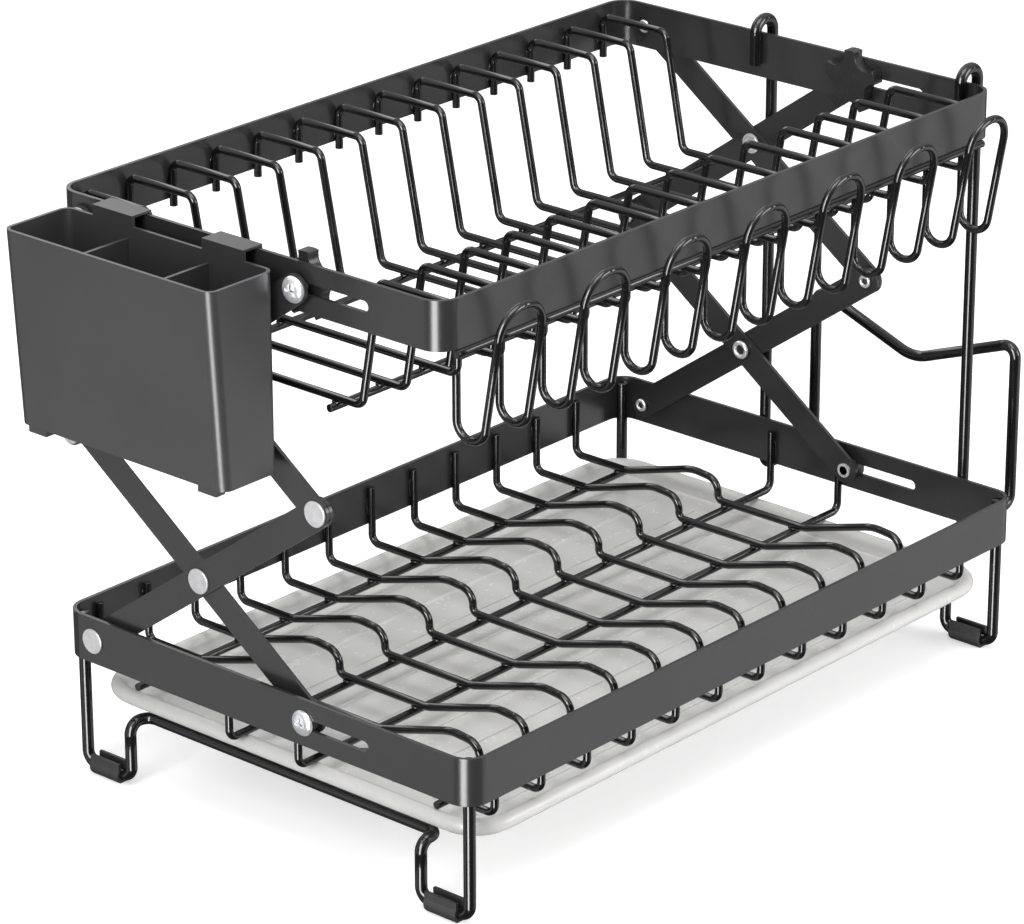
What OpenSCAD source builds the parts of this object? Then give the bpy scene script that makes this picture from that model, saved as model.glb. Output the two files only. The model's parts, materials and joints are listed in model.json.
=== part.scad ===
// Folding two-tier dish rack: flat-band frames, bent-wire racks, scissor links,
// cup hooks, cutlery holder, board holder and drip tray. Lengths in millimetres.
// X runs along the long side, -Y is the front with the cup hooks, +Z is up.

/* [Frames] */
// Length of the lower frame, outside the band
frame_l = 430; // [380:1:480]
// Width of the lower frame, outside the band
frame_w = 272; // [250:1:320]
// Height of the flat band of both frames
band_h = 24.5; // [18:0.5:30]
// Thickness of the band
band_t = 2; // [1.2:0.1:3]
// Outer corner radius of the band
corner_r = 12; // [9:0.5:25]
// Gap on each short side between the upper frame and the inside of the lower one
nest_gap = 2.3; // [1:0.1:4]
// Width of the upper frame, outside the band
upper_w = 249.5; // [235:0.5:258]
// Distance from the lower frame's back face in to the upper frame's back face
upper_back_inset = 2.8; // [2.5:0.1:6]
// Height of the upper frame above the lower frame when set up
rise = 220; // [190:1:250]

/* [Scissor] */
// Hole to hole length of the scissor links
link_len = 188.5; // [170:0.5:210]
// Width of a link
link_w = 15; // [14:0.5:22]
// Thickness of a link
link_t = 2; // [1.5:0.1:3]
// Distance from the lower frame's back face to the fixed pivots
pivot_inset = 21; // [18:0.5:30]
// Share of a link from its end at a frame to the rivet where two links cross
cross_share = 0.47; // [0.45:0.005:0.5]
// Diameter of rivet shanks and bolts
pin_d = 5; // [4:0.1:6]
// Diameter of the flat rivet heads
head_d = 13; // [9:0.5:15]
// Thickness of the rivet heads
head_t = 1.1; // [0.8:0.1:1.3]
// Room in the slots past the slider at both ends of its travel
slot_spare = 1.2; // [0.5:0.1:4]
// Further reach of the slots at their front end
slot_run_on = 5.3; // [0:0.1:8]
// Diameter of the rivets' inner ends
tail_d = 7.8; // [7:0.1:9]
// Diameter of the inner ends of the rivets where links cross
cross_tail_d = 11; // [8:0.5:12]
// Thickness of the washers between the upper frame and its links
disc_t = 0.5; // [0.4:0.1:1]
// Outer diameter of spacers and bushes
spacer_d = 10; // [8:0.5:12]

/* [Star knob] */
// Diameter over the lobes
knob_d = 34; // [26:0.5:36]
// Thickness of the knob
knob_t = 7; // [5:0.1:7]
// Number of lobes
knob_lobes = 5; // [4:1:7]

/* [Rack wires] */
// Diameter of the rack wires
wire_d = 4; // [3:0.1:5]
// Bend radius of the rack wires, at the wire's centre
wire_bend = 5; // [4:0.1:7]
// How far below the lower band the cross wires run, at their centre
deck_drop = 10.5; // [8:0.1:14]
// Number of lower cross wires
wave_count = 12; // [8:1:13]
// Inside of the left band to the first lower cross wire
wave_start = 19.5; // [15:0.5:30]
// Last lower cross wire to the inside of the right band
wave_end = 41; // [20:0.5:45]
// Distance from the inside of the back band to the first hump
hump_start = 39.5; // [34:0.5:44]
// Length of the gentle rise of a hump
hump_run = 46; // [40:0.5:50]
// Height of a hump
hump_h = 13.4; // [9:0.1:16]
// Length of the rounded top of a hump, up to its steep fall
hump_top = 18.1; // [15:0.5:22]
// Spacing of the two humps
hump_pitch = 123.5; // [110:0.5:130]
// Distance from the top of the band down to the turned-up wire ends
end_drop = 3.5; // [2:0.5:8]
// Distance from the top of the band down to the long wires' turned-up ends
tied_drop = 5.5; // [4:0.5:9]

/* [Plate rack] */
// Number of plate wires
plate_count = 14; // [8:1:14]
// Inside of the left upper band to the first plate wire
plate_start = 13.2; // [12:0.1:20]
// Last plate wire to the inside of the right upper band
plate_end = 18.4; // [16:0.1:25]
// Top of the band down to the level runs of the plate wires, at their centre
plate_drop = 5.5; // [3:0.1:8]
// Level run behind the plates
back_run = 45.5; // [35:0.5:55]
// Forward lean of the back of the rack
back_lean = 13; // [5:0.5:20]
// Level run in front of the plates
front_run = 50; // [35:0.5:55]
// Outward lean of the front of the rack
front_lean = 11.5; // [5:0.5:20]
// Depth of the plate rack below the upper band
plate_depth = 44.8; // [35:0.5:55]
// Length of the wire ends below the back band
stub_len = 3.5; // [2:0.5:8]
// Length of the front wire ends below the band
lip_drop = 14; // [10:0.5:20]
// Length of the level end of the front wire ends
lip_run = 15.5; // [10:0.5:20]

/* [Cup hooks] */
// Depth of the hooks below the upper band
hook_depth = 46.8; // [35:0.1:48]
// Width of the hooks at the bottom, between the wires' centres
hook_w = 16.4; // [12:0.1:20]
// Distance of the hooks' back legs behind the front legs of the plate wires
hook_set = 4.4; // [4.2:0.1:6]
// Height of the arcs above the upper band's lower edge
arc_rise = 19.8; // [14:0.1:30]
// Forward lean of the hook fronts, in degrees
hook_lean = 9.9; // [6:0.1:16]

/* [Legs and tray] */
// Diameter of the leg wires
leg_d = 6; // [5:0.1:7]
// Bend radius of the leg wires, at the wire's centre
leg_bend = 6; // [5:0.1:6]
// Depth of the leg wires' foot runs below the lower frame, at the wire's centre
leg_drop = 60; // [50:1:80]
// Length of a foot run between the wires' centres
foot_run = 31; // [28:0.5:45]
// Depth of the tray rails below the lower frame, at the wire's centre
rail_drop = 30.5; // [29:0.5:36]
// Inward jog of the tray rails from the legs
rail_jog = 12.5; // [12:0.5:18]
// Outer diameter of the rubber sleeves
sleeve_d = 10; // [9:0.5:12]
// Height of the flat ground off under a rubber sleeve
sole = 0.6; // [0.3:0.1:1]
// Length of a rubber sleeve
sleeve_l = 20; // [16:0.5:20]
// Distance of the drip tray's ends in from the outside of the lower frame
tray_end = 12; // [11.5:0.5:35]
// Distance of the drip tray's sides in from the outside of the lower frame
tray_side = 5; // [2:0.5:20]
// Gap between the drip tray and the wires above it
tray_gap = 0.4; // [0.3:0.1:3]
// Outer corner radius of the tray
tray_r = 25; // [20:1:40]
// Wall of the tray
tray_t = 1.8; // [1.4:0.1:2.4]
// Radius of the tray's rolled lip
roll_r = 4; // [3:0.1:4.5]
// Number of drain ribs on the tray floor
rib_count = 9; // [3:1:12]
// Height of a drain rib
rib_h = 1; // [0.6:0.1:1.6]

/* [Cutlery holder] */
// Length of the holder along the short side
box_w = 138; // [110:1:146]
// Gap between the lower frame's short side and the holder
box_gap = 3.2; // [3.1:0.1:8]
// Depth of the holder at the rim, outward from the frame
box_d = 43; // [36:0.5:60]
// Height of the holder without its feet
box_h = 100; // [80:1:120]
// How much narrower the holder is at its bottom
box_taper = 6; // [2:0.5:10]
// Wall of the holder
box_t = 1.8; // [1.4:0.1:2.4]
// Corner radius of the holder
box_r = 6; // [4:0.5:10]
// Shift of the holder towards the back from the upper frame's middle
box_shift = 40; // [30:0.5:42]
// Distance of the dividers from the holder's middle
divider_off = 26.5; // [18:0.5:35]
// Drop of the dividers below the rim
divider_drop = 6; // [2:0.5:20]
// Width of the two hook tabs
tab_w = 27; // [20:0.5:34]
// Distance of the tabs from the holder's middle
tab_off = 36.5; // [20:0.5:38]

/* [Board holder] */
// Diameter of the board holder's wire
board_d = 6; // [5:0.1:6.5]
// Distance between its two hooks
board_w = 134; // [110:1:150]
// Shift of the board holder towards the front from the upper frame's middle
board_shift = 39; // [36:0.5:42]
// Distance between the wires on both sides of the boards
board_gap = 44; // [30:0.5:60]
// Gap between the lower frame's short side and the board holder
board_clear = 1.9; // [1.9:0.1:5]
// How far its posts reach below the lower frame
board_drop = 6; // [0:0.5:12]
// Height of the outer rail above the lower frame's underside, at its ends
board_rise = 86; // [60:1:110]
// Depth of the V in the outer rail
board_vee = 25; // [10:0.5:35]

/* [Hidden] */
$fn = 48;
weld = 0.02;        // bite of a wire into the flat band it is welded to
cross_weld = 0.1;   // bite where two round wires cross
lap = 0.2;          // reach of a wire's straights into its bends
bead = 0.01;        // how much thicker a bend is than the straights, on its radius
fit = 0.05;         // radial running clearance of a rivet in its hole
open_fit = 0.3;     // radial clearance of sliders and of the joints closed last
side_gap = 0.3;     // clearance between neighbouring flat layers
air = 0.3;          // clearance between pieces that lie on or hook over each other
rim_drop = 4;       // top of the upper band down to the cutlery holder's rim
cut = 1;            // overrun of every cut
round_n = 48;

// Frame places. The origin is under the middle of the whole rack, on the table.
upper_l = frame_l - 2*band_t - 2*nest_gap;
upper_mid = (frame_w - upper_w)/2 - upper_back_inset;
in_x = frame_l/2 - band_t;
in_y = frame_w/2 - band_t;
up_out_x = upper_l/2;
up_in_x = up_out_x - band_t;
up_back = upper_mid + upper_w/2 - band_t;
up_front = upper_mid - upper_w/2 + band_t;
floor_z = -leg_drop - sleeve_d/2 + sole;

// Scissor places. Links cross nearer their ends at the frames.
pivot_z = band_h/2;
joint_h = rise/2;
cross_h = joint_h*cross_share;
fold_angle = asin(joint_h/link_len);
reach = link_len*cos(fold_angle);
back_y = frame_w/2 - pivot_inset;
cross_y = back_y - reach*cross_share;
front_y = back_y - reach;
slider_y = back_y - 2*reach*cross_share;
rear_y = slider_y + reach;
slot_travel = 2*cross_share*(link_len - reach);

// Outer faces of the four layers of links, from the inside out
hang_x = up_out_x + disc_t + link_t;
last_x = hang_x + side_gap + link_t;
outer_x = hang_x - link_t - side_gap;
inner_x = outer_x - link_t - side_gap;
inside_x = inner_x - link_t;

// Wire levels
deck_z = -deck_drop;
under_z = deck_z - wire_d + cross_weld;
end_z = band_h - end_drop;
wall_y = in_y - wire_d/2 + weld;
plate_top = rise + band_h - plate_drop;
plate_low = rise - plate_depth;
plate_back = up_back - wire_d/2 + weld;
plate_front = up_front + wire_d/2 - weld;
rail_y = up_front - band_t;
rail_z = rise - wire_d/2 + weld;
wave_x0 = -in_x + wave_start;
wave_pitch = (2*in_x - wave_start - wave_end)/(wave_count - 1);
plate_x0 = -up_in_x + plate_start;
plate_pitch = (2*up_in_x - plate_start - plate_end)/(plate_count - 1);
hook_step = wire_d - cross_weld;
hook_back = plate_front + hook_set;
leg_off = (corner_r - band_t - leg_d/2 + weld)*sqrt(1/2);
leg_x = frame_l/2 - corner_r + leg_off;
leg_y = frame_w/2 - corner_r + leg_off;
rail_x = leg_x - rail_jog;
tray_l = frame_l - 2*tray_end;
tray_w = frame_w - 2*tray_side;
tray_z = -rail_drop + leg_d/2 + air;
tray_h = under_z - wire_d/2 - tray_gap - tray_z;

// Cup hooks, lift-off pieces and the overall box
hook_low = rise - hook_depth;
hook_r = hook_w/(1 + tan(45 - hook_lean/2)) - side_gap;
function hook_y(z) = hook_back - hook_w - (z - hook_low)*tan(hook_lean);
box_in = frame_l/2 + box_gap;
box_y = upper_mid + box_shift;
rim_z = rise + band_h - rim_drop;
board_in = frame_l/2 + board_d/2 + board_clear;
board_out = board_in + board_gap;
board_y = upper_mid - board_shift;
box_mid = (board_out + board_d/2 - box_in - box_d)/2;
y_front = min(hook_y(rise + arc_rise) - wire_d/2, -frame_w/2);
y_mid = (frame_w/2 + y_front)/2;

// One node each, in the order of the pieces that carry them.

// Puts the rack over the origin; side -1 is the left end, 1 the right.
module place() {
    translate([-box_mid, -y_mid, -floor_z]) children();
}
module at_end(side) {
    mirror([side < 0 ? 1 : 0, 0, 0]) children();
}

// Points and directions of bent wires
function unit(v) = v/norm(v);
function turn(p, i) = acos(unit(p[i] - p[i - 1])*unit(p[i + 1] - p[i]));
function tangent(p, b, i) =
    i == 0 || i == len(p) - 1 ? 0 : b[i]*tan(turn(p, i)/2);
function side_of(v) =
    unit(cross(v, abs(v.x) > abs(v.z) ? [0, 0, 1] : [1, 0, 0]));
function frame_at(x, y, z, o) = [[x.x, y.x, z.x, o.x], [x.y, y.y, z.y, o.y],
    [x.z, y.z, z.z, o.z], [0, 0, 0, 1]];

// A round wire along points p, bent with the radii b at its inner points.
// The straights reach a little way into the bends, which are a trace thicker.
module wire(p, b, d) {
    last = len(p) - 1;
    for (i = [0:last - 1]) {
        u = unit(p[i + 1] - p[i]);
        t0 = i == 0 ? 0 : tangent(p, b, i) - lap;
        t1 = i == last - 1 ? 0 : tangent(p, b, i + 1) - lap;
        x = side_of(u);
        multmatrix(frame_at(x, cross(u, x), u, p[i] + u*t0))
            cylinder(h = norm(p[i + 1] - p[i]) - t0 - t1, d = d, $fn = round_n);
    }
    if (last > 1) for (i = [1:last - 1]) {
        u = unit(p[i] - p[i - 1]);
        v = unit(p[i + 1] - p[i]);
        a = turn(p, i);
        centre = p[i] + unit(v - u)*b[i]/cos(a/2);
        x = unit(p[i] - u*tangent(p, b, i) - centre);
        multmatrix(frame_at(x, u, cross(x, u), centre))
            rotate_extrude(angle = a, $fn = round_n)
                translate([b[i], 0]) circle(d = d + 2*bead, $fn = round_n);
    }
}
function same(p, r) = [for (i = p) r];

// Flat outlines
module rounded(l, w, r) {
    square([l - 2*r, w], center = true);
    square([l, w - 2*r], center = true);
    for (x = [-1, 1], y = [-1, 1])
        translate([x*(l/2 - r), y*(w/2 - r)]) circle(r, $fn = round_n);
}
module slot_shape(l, d) {
    square([l, d], center = true);
    for (x = [-1, 1]) translate([x*l/2, 0]) circle(d = d, $fn = round_n);
}
// A bore along X through both short sides, or a shape cut through them.
module through_ends(l) {
    rotate([90, 0, 90]) translate([0, 0, -l/2 - cut])
        linear_extrude(l + 2*cut) children();
}
// A pin or disc along X between two distances from the middle.
module axle(x0, x1, d, y, z) {
    translate([x0, y, z]) rotate([0, 90, 0])
        cylinder(h = x1 - x0, d = d, $fn = round_n);
}

// Band frames
module band(l, w) {
    difference() {
        linear_extrude(band_h) rounded(l, w, corner_r);
        translate([0, 0, -cut]) linear_extrude(band_h + 2*cut)
            rounded(l - 2*band_t, w - 2*band_t, corner_r - band_t);
    }
}
module slider_slot() {
    l = slot_travel + slot_run_on;
    translate([slider_y - l/2, pivot_z])
        slot_shape(l + 2*slot_spare, pin_d + 2*open_fit);
}
module lower_frame() {
    color([0.09, 0.09, 0.1]) place() difference() {
        band(frame_l, frame_w);
        through_ends(frame_l) slider_slot();
        through_ends(frame_l) translate([back_y, pivot_z])
            circle(d = pin_d, $fn = round_n);
    }
}
module upper_frame() {
    color([0.09, 0.09, 0.1]) place() translate([0, 0, rise]) difference() {
        translate([0, upper_mid, 0]) band(upper_l, upper_w);
        through_ends(upper_l) slider_slot();
        through_ends(upper_l) translate([back_y, pivot_z])
            circle(d = pin_d, $fn = round_n);
    }
}

// Lower rack
function wave_x(i) = wave_x0 + i*wave_pitch;
function hump_end(s) = s - hump_run - hump_top;
top_shares = [1, 0.86];
brow_bend = 8;      // bend radius at the top of a hump's steep fall
foot_bend = wire_bend/sqrt(2);
module lower_wave_wires() {
    s = in_y - hump_start;
    t = s - hump_pitch;
    top = deck_z + hump_h*top_shares[0];
    brow = deck_z + hump_h*top_shares[1];
    p = [[wall_y, end_z], [wall_y, deck_z], [s, deck_z],
        [s - hump_run, top], [hump_end(s), brow], [hump_end(s), deck_z],
        [t, deck_z], [t - hump_run, top], [hump_end(t), brow],
        [hump_end(t), deck_z], [-wall_y, deck_z], [-wall_y, end_z]];
    b = [0, wire_bend, 3*wire_bend, 5*wire_bend, brow_bend, foot_bend,
        3*wire_bend, 5*wire_bend, brow_bend, foot_bend, wire_bend, 0];
    color([0.09, 0.09, 0.1]) place() for (i = [0:wave_count - 1])
        wire([for (q = p) [wave_x(i), q.x, q.y]], b, wire_d);
}
long_back = 33;     // inside of the back band to the first long wire
long_front = 34;    // inside of the front band to the last long wire
long_mid = [25, -21.5];
long_spare = 5.5;   // length of the free ends past the outer cross wires
module lower_long_wires() {
    x_end = in_x - wire_d/2 + weld;
    top = band_h - tied_drop;
    color([0.09, 0.09, 0.1]) place() {
        for (y = [in_y - long_back, -in_y + long_front])
            wire([[wave_x(0) - long_spare, y, under_z],
                [wave_x(wave_count - 1) + long_spare, y, under_z]],
                [0, 0], wire_d);
        for (y = long_mid)
            wire([[-x_end, y, top], [-x_end, y, under_z],
                [x_end, y, under_z], [x_end, y, top]],
                same([0:3], wire_bend), wire_d);
    }
}

// Legs, feet and tray. The back legs stop below the links' ends if they must.
leg_top = 2.5;      // top of the band down to the legs' ends
back_reach = leg_y - leg_d/2 - side_gap - back_y;
back_leg_top = back_reach > link_w/2 ? band_h - leg_top : pivot_z - side_gap
    - sqrt(max(pow(link_w/2, 2) - pow(back_reach, 2), 0));
module leg_wire(side) {
    x = leg_x;
    low = -leg_drop;
    half = [[x, leg_y, 0], [x, leg_y, low],
        [x, leg_y - foot_run, low], [x, leg_y - foot_run, -rail_drop],
        [rail_x, leg_y - foot_run, -rail_drop]];
    p = concat([half[0] + [0, 0, back_leg_top]], [for (i = [1:4]) half[i]],
        [for (i = [4:-1:1]) [half[i].x, -half[i].y, half[i].z]],
        [[x, -leg_y, band_h - leg_top]]);
    color([0.09, 0.09, 0.1]) place() at_end(side)
        wire(p, same(p, leg_bend), leg_d);
}
slit_share = 0.66;
foot_lip = 1.5;     // height of the sleeve's lips beside the slit
module foot(side, front) {
    r = sleeve_d/2;
    slit = leg_d*slit_share;
    color([0.05, 0.05, 0.05]) place() at_end(side)
        translate([leg_x, front*(leg_y - foot_run/2), -leg_drop])
        rotate([90, 0, 0]) translate([0, 0, -sleeve_l/2])
        linear_extrude(sleeve_l) difference() {
            union() {
                circle(r, $fn = round_n);
                translate([-slit/2 - (r - leg_d/2), 0])
                    square([slit + sleeve_d - leg_d, r + foot_lip]);
            }
            circle(leg_d/2 + fit, $fn = round_n);
            translate([-slit/2, 0]) square([slit, r + foot_lip + cut]);
            translate([-r, -r - cut]) square([2*r, cut + sole]);
        }
}
// Section of the tray's wall and rolled lip, from the outer edge inwards.
module tray_section() {
    top = tray_h - roll_r;
    difference() {
        translate([-roll_r, top]) circle(roll_r, $fn = round_n);
        translate([-roll_r, top]) circle(roll_r - tray_t, $fn = round_n);
        translate([-2*roll_r - cut, top - roll_r - cut])
            square([roll_r + cut, roll_r + cut]);
    }
    translate([-2*roll_r, 0]) square([tray_t, top]);
}
module tray_floor(spare) {
    rounded(tray_l - 2*spare, tray_w - 2*spare, tray_r - spare);
}
rib_w = 2.4;
module drip_tray() {
    floor_in = 2*roll_r - tray_t;
    color([0.85, 0.85, 0.85, 0.7]) place() translate([0, 0, tray_z]) {
        for (i = [0, 1]) mirror([i, 0, 0]) {
            translate([tray_l/2, tray_w/2 - tray_r, 0]) rotate([90, 0, 0])
                linear_extrude(tray_w - 2*tray_r) tray_section();
        }
        for (i = [0, 1]) mirror([0, i, 0])
            translate([-tray_l/2 + tray_r, tray_w/2, 0])
            rotate([90, 0, 90]) linear_extrude(tray_l - 2*tray_r)
                tray_section();
        for (i = [0, 1], j = [0, 1]) mirror([i, 0, 0]) mirror([0, j, 0])
            translate([tray_l/2 - tray_r, tray_w/2 - tray_r, 0])
            rotate_extrude(angle = 90, $fn = round_n)
                translate([tray_r, 0]) tray_section();
        linear_extrude(tray_t) tray_floor(floor_in);
        pitch = (tray_w - 2*tray_r)/(rib_count - 1);
        for (i = [0:rib_count - 1])
            translate([-tray_l/2 + tray_r, -rib_w/2
                + (i - (rib_count - 1)/2)*pitch, tray_t/2])
                cube([tray_l - 2*tray_r, rib_w, tray_t/2 + rib_h]);
    }
}

// A scissor link with its outer face at x, from its end at a frame towards
// the angle a. Its holes: at the frame, where links cross, at the joint.
module link(x, y, z, a, frame_fit, joint_fit) {
    translate([x - link_t, y, z]) rotate([90, 0, 90])
        linear_extrude(link_t) rotate(a) difference() {
            translate([link_len/2, 0]) slot_shape(link_len, link_w);
            circle(d = pin_d + 2*frame_fit, $fn = round_n);
            translate([link_len*cross_share, 0])
                circle(d = pin_d + 2*fit, $fn = round_n);
            translate([link_len, 0])
                circle(d = pin_d + 2*joint_fit, $fn = round_n);
        }
}
module lower_outer_link(side) {
    color([0.1, 0.1, 0.11]) place() at_end(side)
        link(outer_x, back_y, pivot_z, 180 - fold_angle, fit, fit);
}
module lower_inner_link(side) {
    color([0.1, 0.1, 0.11]) place() at_end(side)
        link(inner_x, slider_y, pivot_z, fold_angle, fit, fit);
}
module upper_inner_link(side) {
    color([0.1, 0.1, 0.11]) place() at_end(side)
        link(hang_x, back_y, rise + pivot_z, 180 + fold_angle,
            side < 0 ? fit : open_fit, fit);
}
module upper_outer_link(side) {
    color([0.1, 0.1, 0.11]) place() at_end(side)
        link(last_x, slider_y, rise + pivot_z, -fold_angle, fit, open_fit);
}

// A rivet with its flat head on face and its inner end, of diameter tail and
// thickness t, on the plane inner. The inner end is dimpled.
head_bevel = 0.3;   // bevel round a rivet's head
dimple = 0.7;       // depth of the dimple
dimple_share = 0.6;
module rivet(inner, face, tail, t, y, z) {
    color([0.62, 0.62, 0.63]) difference() {
        union() {
            axle(inner - t, face + head_t, pin_d, y, z);
            axle(inner - t, inner, tail, y, z);
            axle(face, face + head_t - head_bevel, head_d, y, z);
            translate([face + head_t - head_bevel, y, z]) rotate([0, 90, 0])
                cylinder(h = head_bevel, d1 = head_d,
                    d2 = head_d - 2*head_bevel, $fn = round_n);
        }
        axle(inner - t - cut, inner - t + dimple, pin_d*dimple_share, y, z);
    }
}
module lower_cross_rivet(side) {
    place() at_end(side) rivet(inside_x, outer_x, cross_tail_d, head_t,
        cross_y, pivot_z + cross_h);
}
module upper_cross_rivet(side) {
    place() at_end(side) rivet(hang_x - link_t, last_x, cross_tail_d,
        disc_t - side_gap, cross_y, rise + pivot_z - cross_h);
}
module front_joint_rivet(side) {
    place() at_end(side) rivet(outer_x - link_t, hang_x, tail_d, head_t,
        front_y, pivot_z + joint_h);
}
// This one bridges two layers with a shoulder.
module back_joint_rivet(side) {
    place() at_end(side) {
        rivet(inside_x, last_x, tail_d, head_t, rear_y, pivot_z + joint_h);
        color([0.62, 0.62, 0.63]) axle(inner_x, last_x - link_t - side_gap,
            spacer_d, rear_y, pivot_z + joint_h);
    }
}
module tube(x0, x1, y, z) {
    difference() {
        axle(x0, x1, spacer_d, y, z);
        axle(x0 - cut, x1 + cut, pin_d, y, z);
    }
}
module lower_pivot_rivet(side) {
    place() at_end(side) rivet(outer_x - link_t, frame_l/2, tail_d, head_t,
        back_y, pivot_z);
}
module upper_pivot_rivet(side) {
    place() at_end(side) rivet(up_in_x, hang_x, tail_d, head_t,
        back_y, rise + pivot_z);
}
module lower_pivot_spacer(side) {
    color([0.2, 0.2, 0.2]) place() at_end(side)
        tube(outer_x, in_x, back_y, pivot_z);
}
module upper_pivot_spacer(side) {
    color([0.2, 0.2, 0.2]) place() at_end(side)
        tube(up_out_x, up_out_x + disc_t, back_y, rise + pivot_z);
}

// Sliders: bolts that run in the slots
recess_share = 0.5;
module bolt_head(x, z) {
    difference() {
        axle(x, x + 2*head_t, head_d, slider_y, z);
        for (i = [0, 90])
            translate([x + head_t, slider_y, z]) rotate([i, 0, 0])
                translate([0, -head_d*recess_share/2, -head_t/2])
                cube([head_t + cut, head_d*recess_share, head_t]);
    }
}
module lower_slider_bolt(side) {
    tip = inside_x - head_t;
    color([0.75, 0.76, 0.78]) place() at_end(side) {
        bolt_head(frame_l/2 + side_gap, pivot_z);
        axle(tip, frame_l/2 + side_gap, pin_d, slider_y, pivot_z);
        axle(tip, inside_x, tail_d, slider_y, pivot_z);
    }
}
module lower_slider_bush(side) {
    color([0.2, 0.2, 0.2]) place() at_end(side)
        tube(inner_x, in_x - side_gap, slider_y, pivot_z);
}
module upper_slider_bolt(side) {
    color([0.75, 0.76, 0.78]) place() at_end(side) {
        bolt_head(last_x, rise + pivot_z);
        axle(up_in_x - side_gap - knob_t/2, last_x, pin_d, slider_y,
            rise + pivot_z);
    }
}
module upper_slider_washer(side) {
    color([0.12, 0.12, 0.12]) place() at_end(side)
        tube(up_out_x + side_gap, last_x - link_t, slider_y, rise + pivot_z);
}
valley_share = 0.42;
valley_at_share = 1.05;
module star_knob(side) {
    r = knob_d/2;
    face = up_in_x - side_gap;
    color([0.06, 0.06, 0.06]) place() at_end(side) difference() {
        translate([face - knob_t, slider_y, rise + pivot_z])
            rotate([90, 0, 90]) linear_extrude(knob_t) difference() {
                circle(r, $fn = round_n);
                for (i = [0:knob_lobes - 1])
                    rotate(90 + (i + 1/2)*360/knob_lobes)
                    translate([r*valley_at_share, 0])
                    circle(r*valley_share, $fn = round_n);
            }
        axle(face - knob_t/2 - fit, face + cut, pin_d + 2*fit, slider_y,
            rise + pivot_z);
    }
}

// Upper rack
function plate_x(i) = plate_x0 + i*plate_pitch;
module plate_wires() {
    b = up_back - back_run;
    f = up_front + front_run;
    low_b = b - back_lean;
    low_f = f + front_lean;
    lip_z = rise - lip_drop;
    p = [[plate_back, rise - stub_len], [plate_back, plate_top],
        [b, plate_top], [low_b, plate_low], [low_f, plate_low],
        [f, plate_top], [plate_front, plate_top], [plate_front, lip_z],
        [plate_front + lip_run, lip_z]];
    color([0.09, 0.09, 0.1]) place() for (i = [0:plate_count - 1])
        wire([for (q = p) [plate_x(i), q.x, q.y]], same(p, wire_bend), wire_d);
}
rack_rail_in = 16;  // inset of the long wires from the plate rack's bottom bends
module plate_rack_rails() {
    b = up_back - back_run - back_lean - rack_rail_in;
    f = up_front + front_run + front_lean + rack_rail_in;
    z = plate_low - wire_d + cross_weld;
    color([0.09, 0.09, 0.1]) place() for (y = [b, f])
        wire([[plate_x(0) - long_spare, y, z],
            [plate_x(plate_count - 1) + long_spare, y, z]], [0, 0], wire_d);
}

// Cup hooks: loop i joins hooks 2*i and 2*i + 1 by an arc in front of the band.
// Their back legs lean on the ends of the plate wires.
function hook_x(i) = plate_x(i) + hook_step;
hook_top = 11;      // reach of the hooks' back legs above the band's lower edge
module cup_hooks() {
    half = plate_pitch/2;
    top = rise + arc_rise;
    arc = half - side_gap;
    color([0.09, 0.09, 0.1]) place() for (i = [0:floor(plate_count/2) - 1]) {
        m = hook_x(2*i) + half;
        left = [[m - half, hook_back, rise + hook_top],
            [m - half, hook_back, hook_low],
            [m - half, hook_back - hook_w, hook_low],
            [m - half, hook_y(top), top]];
        p = concat(left, [for (j = [3:-1:0]) [2*m - left[j].x, left[j].y, left[j].z]]);
        wire(p, [0, hook_r, hook_r, arc, arc, hook_r, hook_r, 0], wire_d);
    }
}
module hook_rail() {
    color([0.09, 0.09, 0.1]) place()
        wire([[plate_x(0) - long_spare, rail_y, rail_z],
            [hook_x(plate_count - 1) + long_spare, rail_y, rail_z]],
            [0, 0], wire_d);
}

// Cutlery holder, in its own place: x runs outward from the inner wall, z = 0
// is the rim. The outer wall leans in towards the bottom.
module box_form(inset, floor_level, top) {
    w = box_w - 2*inset;
    r = box_r - inset;
    intersection() {
        translate([inset + box_d, 0, floor_level])
            linear_extrude(top - floor_level) rounded(2*box_d, w, r);
        translate([box_d - inset, 0, 0]) rotate([0, atan(box_taper/box_h), 0])
            translate([-box_d, 0, -2*box_h])
            linear_extrude(3*box_h) rounded(2*box_d, w, r);
    }
}
foot_h = 3.5;       // height of the holder's feet
foot_l = 12;        // length of a foot
foot_w = 6;         // width of a foot
foot_in = 6;        // inset of the feet from the holder's ends
foot_edge = 0.6;    // inset of the outer feet from the outer wall
drain_d = 5;        // drain holes in the floor
drain_pitch = 13;   // their spacing
tab_h = 8.5;        // length of the tabs' inner lips below the band's top
tab_t = 1.2;        // thickness of the tabs' lips
bay_shares = [-2, 0, 2];
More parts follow.
